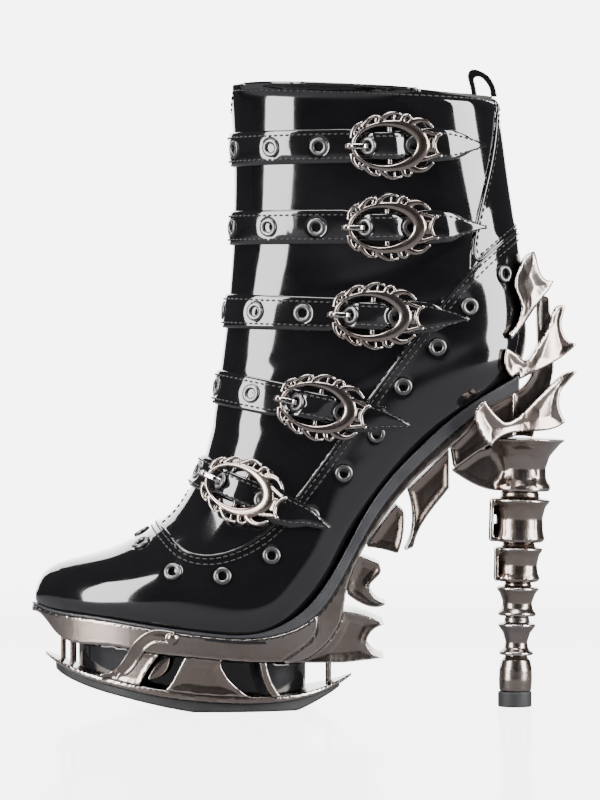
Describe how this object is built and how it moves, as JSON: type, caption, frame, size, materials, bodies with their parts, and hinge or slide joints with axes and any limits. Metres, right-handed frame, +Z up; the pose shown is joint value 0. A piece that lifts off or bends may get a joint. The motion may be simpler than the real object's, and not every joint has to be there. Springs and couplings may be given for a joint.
{
  "type": "high-heeled ankle boot",
  "caption": "Left high-heeled platform ankle boot in patent leather with buckled straps over the shaft, an inner-side zip and a plated heel like a spine with thorns.",
  "frame": {"origin": "centre of the heel tip's flat underside, on the ground", "axes": "+Z up; the toe points along -X; -Y is the outer (lateral) side of this left boot and +Y its inner side"},
  "size_m": [0.2456, 0.0871, 0.2864],
  "materials": {
    "patent_leather": "black patent leather with a thick clear gloss coat",
    "lining_leather": "soft black-brown lining leather",
    "fibre_board": "pressed fibre board",
    "cork_filler": "cork filler",
    "spring_steel": "bare spring steel",
    "rand_rubber": "satin dark grey rand",
    "plated_casting": "moulded plastic plated dark pewter and brushed",
    "buckle_metal": "antiqued cast metal, dark in its hollows",
    "grommet_metal": "bright nickel",
    "zip_tape": "woven black tape",
    "zip_metal": "gunmetal zip",
    "core_plastic": "gloss black plastic",
    "tread_rubber": "black rubber"
  },
  "bodies": {
    "boot": {"foot_part": "patent_leather", "shaft_front": "patent_leather", "shaft_back": "patent_leather", "pull_loop": "patent_leather", "strap_1": "patent_leather", "strap_2": "patent_leather", "strap_3": "patent_leather", "strap_4": "patent_leather", "strap_5": "patent_leather", "chapes": "patent_leather", "lining": "lining_leather", "sock_lining": "lining_leather", "insole_board": "fibre_board", "counter_stiffener": "fibre_board", "toe_puff": "fibre_board", "bottom_filler": "cork_filler", "steel_shank": "spring_steel", "heel_dowel": "spring_steel", "rand": "rand_rubber", "platform_slab": "plated_casting", "arch_rail": "plated_casting", "arch_rib_1": "plated_casting", "arch_rib_2": "plated_casting", "arch_rib_3": "plated_casting", "arch_rib_4": "plated_casting", "base_plate": "plated_casting", "front_struts": "plated_casting", "main_struts": "plated_casting", "rear_struts": "plated_casting", "platform_posts": "plated_casting", "heel_thorn_1": "plated_casting", "heel_thorn_2": "plated_casting", "heel_thorn_3": "plated_casting", "heel_core": "plated_casting", "heel_cup": "plated_casting", "vertebra_1": "plated_casting", "vertebra_2": "plated_casting", "vertebra_3": "plated_casting", "vertebra_4": "plated_casting", "heel_barrel": "plated_casting", "upper_eyelets": "grommet_metal", "strap_grommets": "grommet_metal", "zip_tapes": "zip_tape", "zip_teeth": "zip_metal", "zip_stops": "zip_metal", "platform_core": "core_plastic", "outsole": "tread_rubber", "heel_tip": "tread_rubber"},
    "buckle_1": {"buckle_frame_1": "buckle_metal"},
    "prong_1": {"buckle_prong_1": "buckle_metal"},
    "buckle_2": {"buckle_frame_2": "buckle_metal"},
    "prong_2": {"buckle_prong_2": "buckle_metal"},
    "buckle_3": {"buckle_frame_3": "buckle_metal"},
    "prong_3": {"buckle_prong_3": "buckle_metal"},
    "buckle_4": {"buckle_frame_4": "buckle_metal"},
    "prong_4": {"buckle_prong_4": "buckle_metal"},
    "buckle_5": {"buckle_frame_5": "buckle_metal"},
    "prong_5": {"buckle_prong_5": "buckle_metal"},
    "zip_slide": {"zip_slider": "zip_metal"},
    "zip_pull": {"zip_puller": "zip_metal"}
  },
  "joints": [
    {"name": "buckle_tilt_1", "type": "hinge", "parent": "boot", "child": "buckle_1", "pos_m": [-0.05714, -0.03855, 0.25092], "axis": [-0.0102, -0.0659, 0.9978], "range_deg": [-2, 2]},
    {"name": "prong_lift_1", "type": "hinge", "parent": "buckle_1", "child": "prong_1", "pos_m": [-0.05714, -0.03855, 0.25092], "axis": [-0.0102, -0.0659, 0.9978], "range_deg": [0, 3]},
    {"name": "buckle_tilt_2", "type": "hinge", "parent": "boot", "child": "buckle_2", "pos_m": [-0.05835, -0.0359, 0.21502], "axis": [-0.0018, -0.078, 0.997], "range_deg": [-2, 2]},
    {"name": "prong_lift_2", "type": "hinge", "parent": "buckle_2", "child": "prong_2", "pos_m": [-0.05835, -0.0359, 0.21502], "axis": [-0.0018, -0.078, 0.997], "range_deg": [0, 3]},
    {"name": "buckle_tilt_3", "type": "hinge", "parent": "boot", "child": "buckle_3", "pos_m": [-0.06462, -0.03324, 0.1758], "axis": [0.0341, -0.0162, 0.9993], "range_deg": [-2, 2]},
    {"name": "prong_lift_3", "type": "hinge", "parent": "buckle_3", "child": "prong_3", "pos_m": [-0.06462, -0.03324, 0.1758], "axis": [0.0341, -0.0162, 0.9993], "range_deg": [0, 3]},
    {"name": "buckle_tilt_4", "type": "hinge", "parent": "boot", "child": "buckle_4", "pos_m": [-0.08864, -0.03303, 0.13535], "axis": [0.1995, 0.0499, 0.9786], "range_deg": [-2, 2]},
    {"name": "prong_lift_4", "type": "hinge", "parent": "buckle_4", "child": "prong_4", "pos_m": [-0.08864, -0.03303, 0.13535], "axis": [0.1995, 0.0499, 0.9786], "range_deg": [0, 3]},
    {"name": "buckle_tilt_5", "type": "hinge", "parent": "boot", "child": "buckle_5", "pos_m": [-0.12273, -0.03228, 0.09837], "axis": [0.417, 0.0822, 0.9052], "range_deg": [-2, 2]},
    {"name": "prong_lift_5", "type": "hinge", "parent": "buckle_5", "child": "prong_5", "pos_m": [-0.12273, -0.03228, 0.09837], "axis": [0.417, 0.0822, 0.9052], "range_deg": [0, 3]},
    {"name": "zip_travel", "type": "slide", "parent": "boot", "child": "zip_slide", "axis": [0, -0.0543, -0.9985], "range_m": [0, 0.088]},
    {"name": "puller_swing", "type": "hinge", "parent": "zip_slide", "child": "zip_pull", "pos_m": [-0.05, 0.04096, 0.26186], "axis": [1, 0, 0], "range_deg": [0, 150]}
  ]
}
